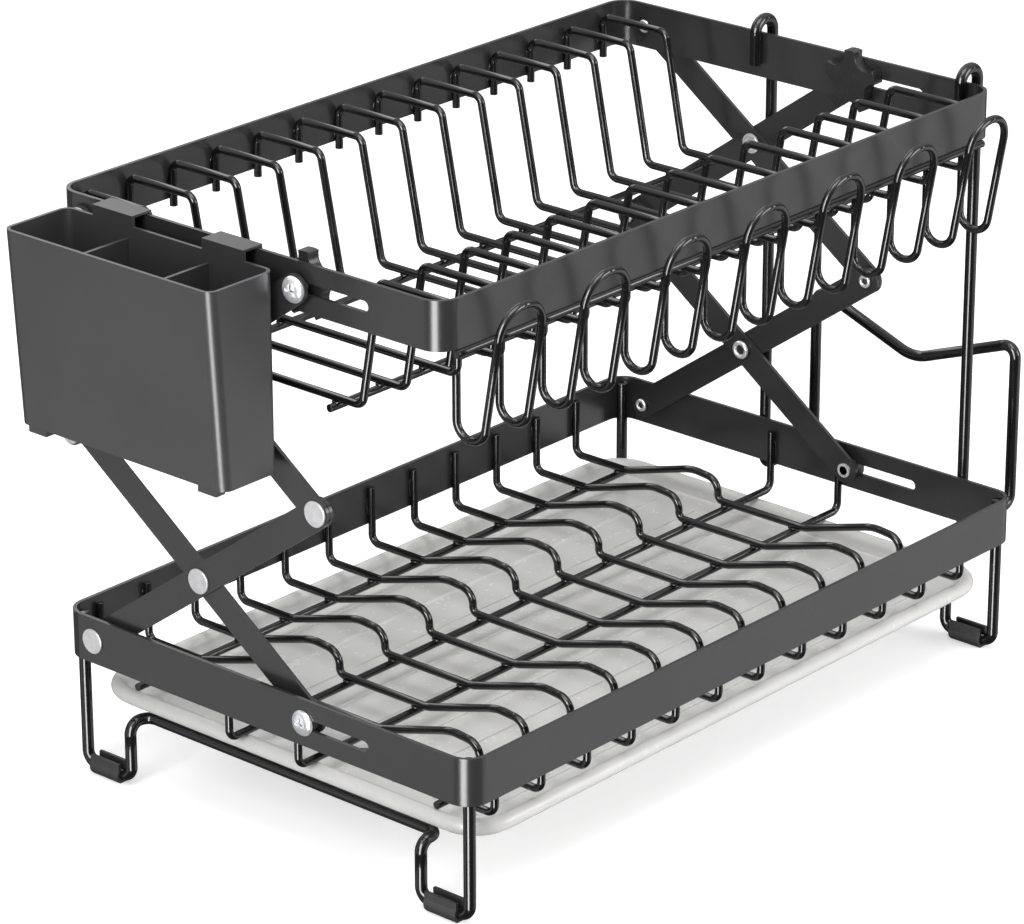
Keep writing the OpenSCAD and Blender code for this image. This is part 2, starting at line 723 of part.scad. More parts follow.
module cutlery_holder() {
    far_x = box_in - up_in_x + air + tab_t;
    over = rim_drop + air;
    mid_x = (box_d - box_taper)/2;
    bay = (box_w/2 - box_t + divider_off)/4;
    color([0.24, 0.24, 0.25]) place() translate([-box_in, box_y, rim_z])
        mirror([1, 0, 0]) {
        difference() {
            box_form(0, -box_h, 0);
            difference() {
                box_form(box_t, -box_h + box_t, cut);
                for (y = [-1, 1])
                    translate([0, y*divider_off - box_t/2, -box_h])
                        cube([box_d, box_t, box_h - divider_drop]);
            }
            for (y = bay_shares*bay, i = [-1, 0, 1], j = [-1, 1])
                translate([mid_x + j*drain_pitch/2, y + i*drain_pitch, -box_h - cut])
                    cylinder(h = box_t + 2*cut, d = drain_d, $fn = 24);
        }
        for (y = [-1, 1], x = [box_r, box_d - box_taper - foot_edge - foot_w])
            translate([x, y*(box_w/2 - foot_in - foot_l/2) - foot_l/2,
                -box_h - foot_h]) cube([foot_w, foot_l, foot_h + box_t/2]);
        for (y = [-1, 1]) translate([0, y*tab_off + tab_w/2, 0])
            rotate([90, 0, 0]) linear_extrude(tab_w) {
                translate([-far_x, over]) square([far_x + box_t, tab_t]);
                translate([0, -tab_h]) square([box_t, tab_h + over + tab_t]);
                translate([-far_x, over - tab_h]) square([tab_t, tab_h + tab_t]);
            }
    }
}

// Board holder: the arches hook over the upper band's right short side.
arch_sink = 0.8;    // centre of the arches below the band's top
arch_leg = 16.5;    // length of the hooks' inner legs below the arches' centre
module board_holder() {
    inner = up_in_x - board_d/2 - air;
    r = (board_in - inner)/2;
    mid = rise + band_h - arch_sink;
    y = board_w/2;
    half = [[inner, y, mid - arch_leg], [inner, y, mid + r],
        [board_in, y, mid + r], [board_in, y, -board_drop],
        [board_out, y, -board_drop], [board_out, y, board_rise]];
    p = concat(half, [[board_out, 0, board_rise - board_vee]],
        [for (i = [5:-1:0]) [half[i].x, -half[i].y, half[i].z]]);
    b = [0, r - side_gap, r - side_gap, board_d, board_d, board_d, 4*board_d,
        board_d, board_d, board_d, r - side_gap, r - side_gap, 0];
    color([0.09, 0.09, 0.1]) place() translate([0, board_y, 0])
        wire(p, b, board_d);
}

lower_frame();
lower_long_wires();
lower_wave_wires();
leg_wire(-1);  // leg_wire_left
leg_wire(1);  // leg_wire_right
foot(-1, -1);  // foot_front_left
foot(-1, 1);  // foot_back_left
foot(1, -1);  // foot_front_right
foot(1, 1);  // foot_back_right
lower_pivot_rivet(-1);  // lower_pivot_rivet_left
lower_pivot_rivet(1);  // lower_pivot_rivet_right
lower_pivot_spacer(-1);  // lower_pivot_spacer_left
lower_pivot_spacer(1);  // lower_pivot_spacer_right
drip_tray();
lower_outer_link(-1);  // lower_outer_link_left
lower_outer_link(1);  // lower_outer_link_right
lower_cross_rivet(-1);  // lower_cross_rivet_left
lower_cross_rivet(1);  // lower_cross_rivet_right
front_joint_rivet(-1);  // front_joint_rivet_left
front_joint_rivet(1);  // front_joint_rivet_right
lower_inner_link(-1);  // lower_inner_link_left
lower_inner_link(1);  // lower_inner_link_right
back_joint_rivet(-1);  // back_joint_rivet_left
back_joint_rivet(1);  // back_joint_rivet_right
lower_slider_bolt(-1);  // lower_slider_bolt_left
lower_slider_bolt(1);  // lower_slider_bolt_right
lower_slider_bush(-1);  // lower_slider_bush_left
lower_slider_bush(1);  // lower_slider_bush_right
upper_inner_link(-1);  // upper_inner_link_left
upper_inner_link(1);  // upper_inner_link_right
upper_cross_rivet(-1);  // upper_cross_rivet_left
upper_cross_rivet(1);  // upper_cross_rivet_right
upper_outer_link(-1);  // upper_outer_link_left
upper_outer_link(1);  // upper_outer_link_right
upper_slider_bolt(-1);  // upper_slider_bolt_left
upper_slider_bolt(1);  // upper_slider_bolt_right
upper_slider_washer(-1);  // upper_slider_washer_left
upper_slider_washer(1);  // upper_slider_washer_right
star_knob(-1);  // star_knob_left
star_knob(1);  // star_knob_right
upper_frame();
plate_wires();
plate_rack_rails();
cup_hooks();
hook_rail();
upper_pivot_rivet(-1);  // upper_pivot_rivet_left
upper_pivot_rivet(1);  // upper_pivot_rivet_right
upper_pivot_spacer(-1);  // upper_pivot_spacer_left
upper_pivot_spacer(1);  // upper_pivot_spacer_right
cutlery_holder();
board_holder();
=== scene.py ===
import json
import math
import bpy
from mathutils import Matrix, Vector


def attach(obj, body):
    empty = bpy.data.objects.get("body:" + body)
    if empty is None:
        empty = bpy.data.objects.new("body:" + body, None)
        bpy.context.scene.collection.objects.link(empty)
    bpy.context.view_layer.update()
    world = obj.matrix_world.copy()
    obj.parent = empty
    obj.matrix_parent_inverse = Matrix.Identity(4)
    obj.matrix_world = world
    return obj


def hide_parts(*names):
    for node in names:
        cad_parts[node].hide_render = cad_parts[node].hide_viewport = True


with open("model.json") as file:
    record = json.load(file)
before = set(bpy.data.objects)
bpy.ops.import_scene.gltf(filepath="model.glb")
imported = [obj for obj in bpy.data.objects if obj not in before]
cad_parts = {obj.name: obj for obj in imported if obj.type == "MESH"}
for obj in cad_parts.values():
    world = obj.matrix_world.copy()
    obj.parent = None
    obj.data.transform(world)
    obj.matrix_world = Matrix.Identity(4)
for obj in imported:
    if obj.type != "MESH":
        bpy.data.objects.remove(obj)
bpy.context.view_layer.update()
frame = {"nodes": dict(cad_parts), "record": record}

scene = bpy.context.scene
nodes = frame["nodes"]
mm = 0.001
ends = (("left", -1), ("right", 1))  # the rack's short ends, and the side of each along X
print("frame loaded:", len(nodes), "solids")

# Where the middle of the lower frame stands in the part's own place, in millimetres.
rackPlace = Vector((-2.85, 0.9718, 64.4))


def place(x, y, z):
    return (Vector((x, y, z)) + rackPlace) * mm


# Camera, matched to the photograph. The stand is in millimetres, as the rack is,
# and the near and far limits are in metres.
cameraPlace = {
    "lens": 165.7527, "sensor": 36, "azimuth": -48.5557, "elevation": 22.1879,
    "roll": -0.1357, "stand": (-1673.92, -1450.46, 976.10), "near": 0.1, "far": 50,
}


def makeCamera(p):
    a, e, r = (math.radians(p[k]) for k in ("azimuth", "elevation", "roll"))
    back = Vector((math.sin(a) * math.cos(e), -math.cos(a) * math.cos(e), math.sin(e)))
    right = (-back).cross(Vector((0, 0, 1))).normalized()
    up = right.cross(-back)
    side = math.cos(r) * right + math.sin(r) * up
    top = -math.sin(r) * right + math.cos(r) * up
    data = bpy.data.cameras.new("camera")
    data.lens, data.sensor_width = p["lens"], p["sensor"]
    data.clip_start, data.clip_end = p["near"], p["far"]
    cam = bpy.data.objects.new("camera", data)
    turn = Matrix((side, top, back)).transposed().to_4x4()
    cam.matrix_world = Matrix.Translation(place(*p["stand"])) @ turn
    scene.collection.objects.link(cam)
    scene.camera = cam


makeCamera(cameraPlace)
print("camera set")


# Small helpers for node trees, of materials and of geometry.
def addNode(tree, kind, **settings):
    node = tree.nodes.new(kind)
    for key, value in settings.items():
        setattr(node, key, value)
    return node


def setInputs(node, values):
    for key, value in values.items():
        node.inputs[key].default_value = value


def mathNode(tree, operation, *values):
    node = addNode(tree, "ShaderNodeMath", operation=operation)
    for socket, value in zip(node.inputs, values):
        if isinstance(value, (int, float)):
            socket.default_value = value
        else:
            tree.links.new(value, socket)
    return node.outputs[0]


# Finishes. Each has a base colour that drifts between two tones, and a fine grain
# that moves its roughness and its bump. The grain's depth is in metres.
noiseSpan = (0.3, 0.7)  # most values of a noise fall in this range
noiseDetail = {"cloud": 3.0, "grain": 2.0}


def startMaterial(name):
    mat = bpy.data.materials.new(name)
    mat.use_nodes = True
    tree = mat.node_tree
    return mat, tree, tree.nodes["Principled BSDF"]


def objectCoords(tree):
    return addNode(tree, "ShaderNodeTexCoord").outputs["Object"]


def noiseValue(tree, where, scale, detail):
    node = addNode(tree, "ShaderNodeTexNoise")
    setInputs(node, {"Scale": scale, "Detail": detail})
    tree.links.new(where, node.inputs["Vector"])
    return node.outputs["Fac"]


def spread(tree, value, low, high, source=noiseSpan):
    node = addNode(tree, "ShaderNodeMapRange")
    setInputs(node, {"From Min": source[0], "From Max": source[1], "To Min": low, "To Max": high})
    tree.links.new(value, node.inputs["Value"])
    return node.outputs["Result"]


def blendColours(tree, value, *colours):
    node = addNode(tree, "ShaderNodeValToRGB")
    for stop, at, colour in zip(node.color_ramp.elements, noiseSpan, colours):
        stop.position, stop.color = at, (*colour, 1)
    tree.links.new(value, node.inputs["Fac"])
    return node.outputs["Color"]


def bumpFrom(tree, shader, value, depth):
    bump = addNode(tree, "ShaderNodeBump")
    setInputs(bump, {"Strength": 1.0, "Distance": depth})
    tree.links.new(value, bump.inputs["Height"])
    tree.links.new(bump.outputs["Normal"], shader.inputs["Normal"])


def makeFinish(name, p):
    mat, tree, shader = startMaterial(name)
    where = objectCoords(tree)
    cloud = noiseValue(tree, where, p["cloudScale"], noiseDetail["cloud"])
    grain = noiseValue(tree, where, p["grainScale"], noiseDetail["grain"])
    colour = blendColours(tree, cloud, p["dark"], p["light"])
    tree.links.new(colour, shader.inputs["Base Color"])
    tree.links.new(spread(tree, grain, *p["roughness"]), shader.inputs["Roughness"])
    bumpFrom(tree, shader, grain, p["grainDepth"])
    setInputs(shader, p.get("shader", {}))
    return mat


coatedSteel = makeFinish("coatedSteel", {
    "dark": (0.004, 0.004, 0.0043), "light": (0.0065, 0.0065, 0.007), "cloudScale": 60,
    "grainScale": 1400, "grainDepth": 0.000012, "roughness": (0.12, 0.19),
    "shader": {"IOR": 1.5},
})
bandCoat = makeFinish("bandCoat", {
    "dark": (0.024, 0.024, 0.0243), "light": (0.028, 0.028, 0.0283), "cloudScale": 22,
    "grainScale": 1600, "grainDepth": 0.000002, "roughness": (0.22, 0.27),
    "shader": {"IOR": 1.5},
})
rivetSteel = makeFinish("rivetSteel", {
    "dark": (0.50, 0.50, 0.51), "light": (0.62, 0.62, 0.63), "cloudScale": 300,
    "grainScale": 2500, "grainDepth": 0.00002, "roughness": (0.30, 0.42),
    "shader": {"Metallic": 0.25},
})
boltZinc = makeFinish("boltZinc", {
    "dark": (0.72, 0.73, 0.75), "light": (0.88, 0.89, 0.91), "cloudScale": 400,
    "grainScale": 1800, "grainDepth": 0.00002, "roughness": (0.14, 0.22),
    "shader": {"Metallic": 0.6},
})
spacerPlastic = makeFinish("spacerPlastic", {
    "dark": (0.012, 0.012, 0.012), "light": (0.02, 0.02, 0.02), "cloudScale": 200,
    "grainScale": 2200, "grainDepth": 0.00002, "roughness": (0.4, 0.55),
})
knobPlastic = makeFinish("knobPlastic", {
    "dark": (0.010, 0.010, 0.010), "light": (0.017, 0.017, 0.017), "cloudScale": 150,
    "grainScale": 2600, "grainDepth": 0.00002, "roughness": (0.24, 0.36),
})
holderPlastic = makeFinish("holderPlastic", {
    "dark": (0.034, 0.034, 0.036), "light": (0.043, 0.043, 0.045), "cloudScale": 18,
    "grainScale": 2200, "grainDepth": 0.000015, "roughness": (0.28, 0.38),
})
trayPlastic = makeFinish("trayPlastic", {
    "dark": (0.69, 0.685, 0.675), "light": (0.75, 0.745, 0.735), "cloudScale": 12,
    "grainScale": 220, "grainDepth": 0.000004, "roughness": (0.20, 0.28),
    "shader": {"Alpha": 0.8, "IOR": 1.46},
})
footRubber = makeFinish("footRubber", {
    "dark": (0.008, 0.008, 0.008), "light": (0.014, 0.014, 0.014), "cloudScale": 250,
    "grainScale": 3000, "grainDepth": 0.00003, "roughness": (0.5, 0.68),
})

# The rivets' heads stay pale and their hollow inner ends get painted shade, a dark colour
# for the shade inside the hollow, by the distance along X from the middle of the rack, in
# millimetres.
rivetHollowShade = {"hollowShade": (0.03, 0.03, 0.03), "from": 210.4, "to": 210.8}


def paintHollowShade(mat, p):
    tree = mat.node_tree
    base = tree.nodes["Principled BSDF"].inputs["Base Color"]
    pale = base.links[0].from_socket
    split = addNode(tree, "ShaderNodeSeparateXYZ")
    tree.links.new(objectCoords(tree), split.inputs[0])
    fromMiddle = mathNode(tree, "SUBTRACT", split.outputs["X"], rackPlace.x * mm)
    away = mathNode(tree, "ABSOLUTE", fromMiddle)
    isHead = spread(tree, away, 0, 1, (p["from"] * mm, p["to"] * mm))
    # Painted shade: the inner ends take a dark colour in place of the shade inside the hollow.
    mix = addNode(tree, "ShaderNodeMix", data_type="RGBA")
    mix.inputs["A"].default_value = (*p["hollowShade"], 1)
    tree.links.new(isHead, mix.inputs["Factor"])
    tree.links.new(pale, mix.inputs["B"])
    tree.links.new(mix.outputs["Result"], base)


paintHollowShade(rivetSteel, rivetHollowShade)
print("finishes made")


# The solids are merged, eased at their edges and smoothed, all by modifiers. A piece
# takes the first easing whose word is in its name. Easings are in millimetres, angles
# in degrees and the weld in metres.
easing = {"frame": 0.35, "link": 0.25, "rivet": 0.25, "bolt": 0.25, "knob": 0.9, "foot": 0.5,
          "cutlery": 0.7, "tray": 0.3, "washer": 0.2, "wires": 0.35, "wire": 0.35, "rail": 0.35,
          "holder": 0.35, "hooks": 0.35}
dressing = {"weld": 2e-6, "plainWithin": 0.5, "easeOver": 50, "easeSteps": 2, "areaWeight": 50}
smoothUnder = 0.6  # radians; a sharper edge keeps its line
flatPieces = ("frame", "link", "rivet", "bolt", "knob", "cutlery", "tray", "foot")
bandPieces = ("lower_frame", "upper_frame")
finishOf = {
    "coated_steel": coatedSteel, "rivet_steel": rivetSteel, "bolt_zinc": boltZinc,
    "spacer_plastic": spacerPlastic, "knob_plastic": knobPlastic,
    "holder_plastic": holderPlastic, "tray_plastic": trayPlastic, "foot_rubber": footRubber,
}


def smoothTree():
    tree = bpy.data.node_groups.new("smoothByAngle", "GeometryNodeTree")
    face, link = tree.interface, tree.links.new
    face.new_socket("Geometry", in_out="INPUT", socket_type="NodeSocketGeometry")
    angle = face.new_socket("Angle", in_out="INPUT", socket_type="NodeSocketFloat")
    angle.default_value = smoothUnder
    face.new_socket("Geometry", in_out="OUTPUT", socket_type="NodeSocketGeometry")
    start, end = addNode(tree, "NodeGroupInput"), addNode(tree, "NodeGroupOutput")
    bend = addNode(tree, "GeometryNodeInputMeshEdgeAngle")
    isSoft = addNode(tree, "FunctionNodeCompare", operation="LESS_THAN")
    faces = addNode(tree, "GeometryNodeSetShadeSmooth")
    edges = addNode(tree, "GeometryNodeSetShadeSmooth", domain="EDGE")
    link(start.outputs["Geometry"], faces.inputs["Geometry"])
    link(faces.outputs["Geometry"], edges.inputs["Geometry"])
    link(bend.outputs["Unsigned Angle"], isSoft.inputs[0])
    link(start.outputs["Angle"], isSoft.inputs[1])
    link(isSoft.outputs["Result"], edges.inputs["Shade Smooth"])
    link(edges.outputs["Geometry"], end.inputs["Geometry"])
    return tree


smoothGroup = smoothTree()


def dressSolid(name, solid, p):
    weld = solid.modifiers.new("weld", "WELD")
    weld.merge_threshold = p["weld"]
    isFlat = any(word in name for word in flatPieces)
    if isFlat:
        plain = solid.modifiers.new("plainFaces", "DECIMATE")
        plain.decimate_type, plain.angle_limit = "DISSOLVE", math.radians(p["plainWithin"])
    width = next((v for k, v in easing.items() if k in name), None)
    if width:
        ease = solid.modifiers.new("ease", "BEVEL")
        ease.width, ease.segments = width * mm, p["easeSteps"]
        ease.limit_method, ease.angle_limit = "ANGLE", math.radians(p["easeOver"])
        ease.use_clamp_overlap = True
    smooth = solid.modifiers.new("smooth", "NODES")
    smooth.node_group = smoothGroup
    if isFlat:
        flat = solid.modifiers.new("flatFaces", "WEIGHTED_NORMAL")
        flat.mode, flat.weight, flat.keep_sharp = "FACE_AREA", p["areaWeight"], True


slots = {s["node"]: s["material_slot"] for s in frame["record"]["subparts"]}
for name, solid in nodes.items():
    finish = bandCoat if name in bandPieces or "link" in name else finishOf[slots[name]]
    solid.data.materials.clear()
    solid.data.materials.append(finish)
    dressSolid(name, solid, dressing)
print("solids dressed")


# What the trees of small pieces share: the spots they stand on come in as points, and
# the inputs are sizes. A tree ends in real, coated copies of one shape.
def startTree(name, inputs):
    tree = bpy.data.node_groups.new(name, "GeometryNodeTree")
    face = tree.interface
    face.new_socket("Spots", in_out="INPUT", socket_type="NodeSocketGeometry")
    for key, kind in inputs:
        face.new_socket(key, in_out="INPUT", socket_type="NodeSocket" + kind)
    face.new_socket("Pieces", in_out="OUTPUT", socket_type="NodeSocketGeometry")
    return tree, addNode(tree, "NodeGroupInput").outputs


def endTree(tree, spots, shape, finish, size=None, turn=None, isSmooth=True):
    link = tree.links.new
    put = addNode(tree, "GeometryNodeInstanceOnPoints")
    given = {"Points": spots, "Instance": shape, "Scale": size, "Rotation": turn}
    for key, value in given.items():
        if value is not None:
            link(value, put.inputs[key])
    made = addNode(tree, "GeometryNodeRealizeInstances")
    link(put.outputs["Instances"], made.inputs["Geometry"])
    if isSmooth:
        smooth = addNode(tree, "GeometryNodeSetShadeSmooth")
        link(made.outputs["Geometry"], smooth.inputs["Geometry"])
        made = smooth
    coat = addNode(tree, "GeometryNodeSetMaterial")
    coat.inputs["Material"].default_value = finish
    link(made.outputs["Geometry"], coat.inputs["Geometry"])
    link(coat.outputs["Geometry"], addNode(tree, "NodeGroupOutput").inputs["Pieces"])
    return tree


# A vector that each spot carries, read by its name.
def spotValue(tree, name):
    node = addNode(tree, "GeometryNodeInputNamedAttribute", data_type="FLOAT_VECTOR")
    node.inputs["Name"].default_value = name
    return node.outputs["Attribute"]


# Spots as loose points. Each named row in extras holds one vector for every spot.
def spotMesh(name, spots, extras):
    mesh = bpy.data.meshes.new(name + "Spots")
    mesh.from_pydata([place(*at) for at in spots], [], [])
    for key, vectors in extras.items():
        row = mesh.attributes.new(key, "FLOAT_VECTOR", "POINT")
        for point, vector in zip(row.data, vectors):
            point.vector = vector
    return mesh


# Sets a nodes modifier's inputs by their sockets, then keeps its result as a plain mesh.
def settle(name, mesh, tree, values, finish):
    maker = bpy.data.objects.new(name + "Maker", mesh)
    scene.collection.objects.link(maker)
    modifier = maker.modifiers.new("make", "NODES")
    modifier.node_group = tree
    for item in tree.interface.items_tree:
        if item.item_type == "SOCKET" and item.in_out == "INPUT" and item.name in values:
            modifier[item.identifier] = values[item.name]
    bpy.context.view_layer.update()
    finished = maker.evaluated_get(bpy.context.evaluated_depsgraph_get())
    made = bpy.data.meshes.new_from_object(finished)
    bpy.data.objects.remove(maker)
    made.materials.clear()
    made.materials.append(finish)
    piece = bpy.data.objects.new(name, made)
    scene.collection.objects.link(piece)
    return piece


# Weld beads, where wires cross and where they meet the bands. From here on places and
# sizes are in millimetres from the middle of the lower frame.
rack = {"insideX": 213.0, "insideY": 134.0, "upperBack": 131.2, "upperFront": -114.3,
        "rise": 220.0, "wire": 4.0}
lowerWires = {"first": -193.5, "pitch": 33.2273, "count": 12,
              "longY": (101.0, 25.0, -21.5, -100.0), "tiedLongY": (25.0, -21.5),
              "crossingZ": -12.45, "endMiddle": 11.0, "tiedMiddle": 10.0}
plateWires = {"first": -195.5, "pitch": 29.6769, "count": 14, "railY": (56.7, -36.8),
              "crossingZ": 173.25, "endMiddle": 7.5, "hookShift": 1.95, "lipY": -107.9,
              "lipDrop": 14.0}
legWires = {"corner": (203.0, 124.0), "inner": 10.0, "middle": 12.0}
beadSizes = {"crossing": (2.7, 2.7, 1.0), "wallEnd": (2.5, 0.9, 7.5), "hookSide": (0.9, 2.3, 2.3),
             "railTouch": (2.4, 0.8, 2.4), "leg": (3.6, 1.0, 8.0)}
beadLook = {"Segments": 16, "Rings": 8, "Spread": 0.16, "Tilt": 0.12, "Seed": 11}
leanSeedShift = 7  # keeps a bead's lean apart from its stretch


def wirePlaces(w):
    return [w["first"] + i * w["pitch"] for i in range(w["count"])]


# Each bead is a place, a kind and a turn about Z in degrees.
def lowerBeadSpots():
    w, xs = lowerWires, wirePlaces(lowerWires)
    spots = [((x, y, w["crossingZ"]), "crossing", 0) for x in xs for y in w["longY"]]
    spots += [((x, s * rack["insideY"], w["endMiddle"]), "wallEnd", 0)
              for x in xs for s in (-1, 1)]
    spots += [((s * rack["insideX"], y, w["tiedMiddle"]), "wallEnd", 90)
              for y in w["tiedLongY"] for s in (-1, 1)]
    reach = legWires["inner"] * math.sqrt(0.5)
    for sx in (-1, 1):
        for sy in (-1, 1):
            x, y = (legWires["corner"][0] + reach) * sx, (legWires["corner"][1] + reach) * sy
            spots.append(((x, y, legWires["middle"]), "leg", -45 * sx * sy))
    return spots


def upperBeadSpots():
    w, xs = plateWires, wirePlaces(plateWires)
    rise, front = rack["rise"], rack["upperFront"]
    spots = [((x, y, w["crossingZ"]), "crossing", 0) for x in xs for y in w["railY"]]
    for y in (rack["upperBack"], front):
        spots += [((x, y, rise + w["endMiddle"]), "wallEnd", 0) for x in xs]
    spots += [((x + w["hookShift"], w["lipY"], rise - w["lipDrop"]), "hookSide", 0) for x in xs]
    spots += [((x, front, rise - rack["wire"] / 2), "railTouch", 0) for x in xs]
    return spots


def beadTree(finish):
    kinds = {key: "Int" if isinstance(value, int) else "Float" for key, value in beadLook.items()}
    tree, start = startTree("weldBeads", kinds.items())
    link = tree.links.new
    ball = addNode(tree, "GeometryNodeMeshUVSphere")
    ball.inputs["Radius"].default_value = 1.0
    for key in ("Segments", "Rings"):
        link(start[key], ball.inputs[key])

    # A random vector whose parts lie within reach of the middle.
    def scatter(reach, middle, seedShift):
        node = addNode(tree, "FunctionNodeRandomValue", data_type="FLOAT_VECTOR")
        link(mathNode(tree, "MULTIPLY_ADD", reach, -1.0, middle), node.inputs["Min"])
        link(mathNode(tree, "MULTIPLY_ADD", reach, 1.0, middle), node.inputs["Max"])
        link(mathNode(tree, "ADD", start["Seed"], seedShift), node.inputs["Seed"])
        return node.outputs["Value"]

    def combine(operation, first, second):
        node = addNode(tree, "ShaderNodeVectorMath", operation=operation)
        link(first, node.inputs[0])
        link(second, node.inputs[1])
        return node.outputs["Vector"]

    stretch = scatter(start["Spread"], 1.0, 0)
    lean = scatter(start["Tilt"], 0.0, leanSeedShift)
    return endTree(tree, start["Spots"], ball.outputs["Mesh"], finish,
                   size=combine("MULTIPLY", spotValue(tree, "beadSize"), stretch),
                   turn=combine("ADD", spotValue(tree, "beadTurn"), lean))


def makeBeads(name, spots, body, tree):
    mesh = spotMesh(name, [at for at, kind, turn in spots], {
        "beadSize": [[v * mm for v in beadSizes[kind]] for at, kind, turn in spots],
        "beadTurn": [(0, 0, math.radians(turn)) for at, kind, turn in spots],
    })
    piece = settle(name, mesh, tree, beadLook, coatedSteel)
    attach(piece, body)
    print(name, len(spots), "beads")


beads = beadTree(coatedSteel)
makeBeads("lowerWeldBeads", lowerBeadSpots(), "lower_rack", beads)
makeBeads("upperWeldBeads", upperBeadSpots(), "upper_rack", beads)


# Slider bolts: domed heads with a cross recess.
sliderBolts = {"y": -28.87, "lowZ": 12.25, "highZ": 232.25, "lowFace": 215.3, "highFace": 215.5}
boltSizes = {"Head Radius": 6.6, "Head Height": 2.9, "Recess": 6.6, "Slot": 1.3, "Depth": 1.5,
             "Shank Radius": 2.5}
lowBolt = {"Shank Length": 9.8, "Tail Radius": 3.9, "Tail Length": 1.1}
highBolt = {"Shank Length": 10.6, "Tail Radius": 2.5, "Tail Length": 0.5}
boltMesh = {"rodSides": 40, "domeSegments": 48, "domeRings": 24, "blockShare": 4.0}


def boltTree(finish):
    tree, size = startTree("sliderBolt", [(key, "Float") for key in (*boltSizes, *lowBolt)])
    link = tree.links.new

    def times(value, factor):
        return mathNode(tree, "MULTIPLY", value, factor)

    def vector(*values):
        node = addNode(tree, "ShaderNodeCombineXYZ")
        for socket, value in zip(node.inputs, values):
            link(value, socket)
        return node.outputs[0]

    def moved(mesh, **changes):
        node = addNode(tree, "GeometryNodeTransform")
        link(mesh, node.inputs["Geometry"])
        for key, value in changes.items():
            link(value, node.inputs[key])
        return node

    def block(*sides):
        node = addNode(tree, "GeometryNodeMeshCube")
        link(vector(*sides), node.inputs["Size"])
        return node.outputs["Mesh"]

    def rod(radius, length, middle):
        node = addNode(tree, "GeometryNodeMeshCylinder")
        node.inputs["Vertices"].default_value = boltMesh["rodSides"]
        link(radius, node.inputs["Radius"])
        link(length, node.inputs["Depth"])
        lying = moved(node.outputs["Mesh"])
        lying.inputs["Rotation"].default_value = (0, math.pi / 2, 0)
        return moved(lying.outputs[0], Translation=vector(middle)).outputs[0]

    # The dome is the front half of a flattened ball. One block takes the back half
    # away, and two more cut the cross into the top.
    ball = addNode(tree, "GeometryNodeMeshUVSphere")
    setInputs(ball, {"Segments": boltMesh["domeSegments"], "Rings": boltMesh["domeRings"]})
    radius = size["Head Radius"]
    head = moved(ball.outputs["Mesh"], Scale=vector(size["Head Height"], radius, radius))
    wide = times(radius, boltMesh["blockShare"])
    deep = times(size["Depth"], 2.0)
    top = vector(size["Head Height"])
    carve = addNode(tree, "GeometryNodeMeshBoolean", operation="DIFFERENCE")
    link(head.outputs[0], carve.inputs["Mesh 1"])
    for sides, at in (((wide, wide, wide), vector(times(wide, -0.5))),
                      ((deep, size["Recess"], size["Slot"]), top),
                      ((deep, size["Slot"], size["Recess"]), top)):
        link(moved(block(*sides), Translation=at).outputs[0], carve.inputs["Mesh 2"])
    length, tailLength = size["Shank Length"], size["Tail Length"]
    shank = rod(size["Shank Radius"], length, times(length, -0.5))
    tailMiddle = mathNode(tree, "SUBTRACT", times(tailLength, 0.5), length)
    tail = rod(size["Tail Radius"], tailLength, tailMiddle)
    join = addNode(tree, "GeometryNodeJoinGeometry")
    for part in (carve.outputs["Mesh"], shank, tail):
        link(part, join.inputs[0])
    soften = addNode(tree, "GeometryNodeGroup", node_tree=smoothGroup)
    link(join.outputs[0], soften.inputs["Geometry"])
    return endTree(tree, size["Spots"], soften.outputs["Geometry"], finish,
                   turn=spotValue(tree, "boltTurn"), isSmooth=False)


def makeBolt(name, tree, side, face, z, shape, body, solid):
    turn = (0, 0, 0 if side > 0 else math.pi)
    mesh = spotMesh(name, [(side * face, sliderBolts["y"], z)], {"boltTurn": [turn]})
    values = {key: value * mm for key, value in {**boltSizes, **shape}.items()}
    piece = settle(name, mesh, tree, values, boltZinc)
    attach(piece, body)
    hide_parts(solid)


bolts = boltTree(boltZinc)
for end, side in ends:
    makeBolt(f"{end}LowerBolt", bolts, side, sliderBolts["lowFace"], sliderBolts["lowZ"],
             lowBolt, f"{end}_lower_inner", f"lower_slider_bolt_{end}")
    makeBolt(f"{end}UpperBolt", bolts, side, sliderBolts["highFace"], sliderBolts["highZ"],
             highBolt, f"{end}_upper_outer", f"upper_slider_bolt_{end}")
print("slider bolts made")


# Rivet eyelets: the rolled rims of the rivets' inner ends. The sizes are the radius of
# the rim and of its roll. The rim on the upper cross is sunk into its link, so that it
# clears the upper band when the rack is folded.
eyelets = {"pivotX": 207.8, "upperPivotX": 207.6, "crossX": 205.5, "upperCrossX": 212.1,
           "frontJointX": 207.8, "backJointX": 205.5, "pivotY": 115.0, "crossY": 43.05,
           "frontJointY": -38.08, "backJointY": 124.2, "lowZ": 12.25, "jointZ": 122.25,
           "highZ": 232.25, "crossRise": 51.7}
eyeletSizes = {"small": (2.65, 1.0), "wide": (3.9, 1.3)}
eyeletMesh = {"rimSides": 32, "rollSides": 14}


def eyeletTree(finish):
    tree, start = startTree("rivetEyelet", [("Rim Radius", "Float"), ("Roll Radius", "Float")])
    link = tree.links.new

    def circle(sides, radius):
        node = addNode(tree, "GeometryNodeCurvePrimitiveCircle")
        node.inputs["Resolution"].default_value = sides
        link(radius, node.inputs["Radius"])
        return node.outputs["Curve"]

    ring = addNode(tree, "GeometryNodeCurveToMesh")
    link(circle(eyeletMesh["rimSides"], start["Rim Radius"]), ring.inputs["Curve"])
    link(circle(eyeletMesh["rollSides"], start["Roll Radius"]), ring.inputs["Profile Curve"])
    upright = addNode(tree, "GeometryNodeTransform")
    upright.inputs["Rotation"].default_value = (0, math.pi / 2, 0)
    link(ring.outputs["Mesh"], upright.inputs["Geometry"])
    return endTree(tree, start["Spots"], upright.outputs[0], finish)


